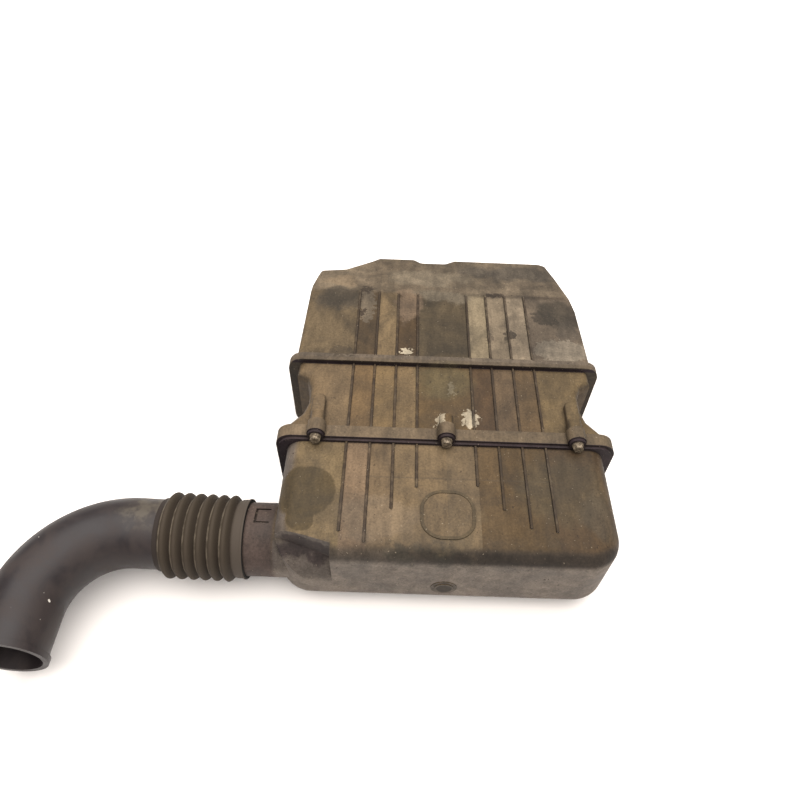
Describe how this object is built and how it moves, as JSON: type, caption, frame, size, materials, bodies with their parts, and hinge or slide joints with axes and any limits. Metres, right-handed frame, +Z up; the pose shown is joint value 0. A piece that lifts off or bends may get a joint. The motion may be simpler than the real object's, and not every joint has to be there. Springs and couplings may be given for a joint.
{
  "type": "air filter housing",
  "caption": "Black plastic engine air filter housing: ribbed box with a screwed-on front cover, panel element, underside outlet and a bellows intake hose with an elbow.",
  "frame": {"origin": "middle of the bottom edge of the casing's seam collar, in the plane the housing rests on", "axes": "+X to the right seen from the cover, along the seam; +Y from the cover to the rear shell; +Z up"},
  "size_m": [0.5425, 0.482, 0.116],
  "materials": {
    "front_cover": "moulded, dusty and worn",
    "nose_plug": "moulded",
    "badge_ring": "moulded, blank",
    "cover_feet": "matt",
    "cover_seal": "closed-cell foam",
    "mid_shell": "moulded, dusty and worn",
    "screw_inserts": "knurled, pressed in",
    "rear_shell": "moulded, dusty and worn",
    "outlet_trumpet": "moulded",
    "outlet_seal": "matt",
    "mount_grommets": "matt",
    "mount_sleeves": "zinc plated",
    "element_seal": "moulded polyurethane",
    "pleat_pack": "resin-treated, folded",
    "element_frame": "plain",
    "element_grid": "moulded",
    "bellows_hose": "matt, dusty",
    "elbow_pipe": "smooth, dusty",
    "screw_left": "worn zinc",
    "screw_centre": "worn zinc",
    "screw_right": "worn zinc",
    "washer_left": "worn zinc",
    "washer_centre": "worn zinc",
    "washer_right": "worn zinc"
  },
  "bodies": {
    "casing": {"mid_shell": "mid_shell", "rear_shell": "rear_shell", "screw_inserts": "screw_inserts", "cover_seal": "cover_seal", "outlet_trumpet": "outlet_trumpet", "outlet_seal": "outlet_seal", "mount_grommets": "mount_grommets", "mount_sleeves": "mount_sleeves"},
    "cover": {"front_cover": "front_cover", "nose_plug": "nose_plug", "badge_ring": "badge_ring", "cover_feet": "cover_feet", "bellows_hose": "bellows_hose"},
    "element": {"element_seal": "element_seal", "pleat_pack": "pleat_pack", "element_frame": "element_frame", "element_grid": "element_grid"},
    "screw_l": {"screw_left": "screw_left", "washer_left": "washer_left"},
    "screw_c": {"screw_centre": "screw_centre", "washer_centre": "washer_centre"},
    "screw_r": {"screw_right": "screw_right", "washer_right": "washer_right"},
    "hose_end": {"elbow_pipe": "elbow_pipe"}
  },
  "joints": [
    {"name": "cover_pull", "type": "slide", "parent": "casing", "child": "cover", "axis": [0, -1, 0], "range_m": [0, 0.16]},
    {"name": "element_pull", "type": "slide", "parent": "casing", "child": "element", "axis": [0, -1, 0], "range_m": [0, 0.08]},
    {"name": "screw_left_out", "type": "slide", "parent": "cover", "child": "screw_l", "axis": [0, -1, 0], "range_m": [0, 0.02]},
    {"name": "screw_centre_out", "type": "slide", "parent": "cover", "child": "screw_c", "axis": [0, -1, 0], "range_m": [0, 0.02]},
    {"name": "screw_right_out", "type": "slide", "parent": "cover", "child": "screw_r", "axis": [0, -1, 0], "range_m": [0, 0.02]},
    {"name": "bellows_bend", "type": "hinge", "parent": "cover", "child": "hose_end", "pos_m": [-0.218, -0.0795, 0.047], "axis": [0, 0, 1], "range_deg": [-14, 14], "stiffness_Nm_per_rad": 2, "deforming": ["bellows_hose"]}
  ],
  "couplings": [
    {"joint": "element_pull", "follows": "cover_pull", "ratio": 0.5}
  ]
}
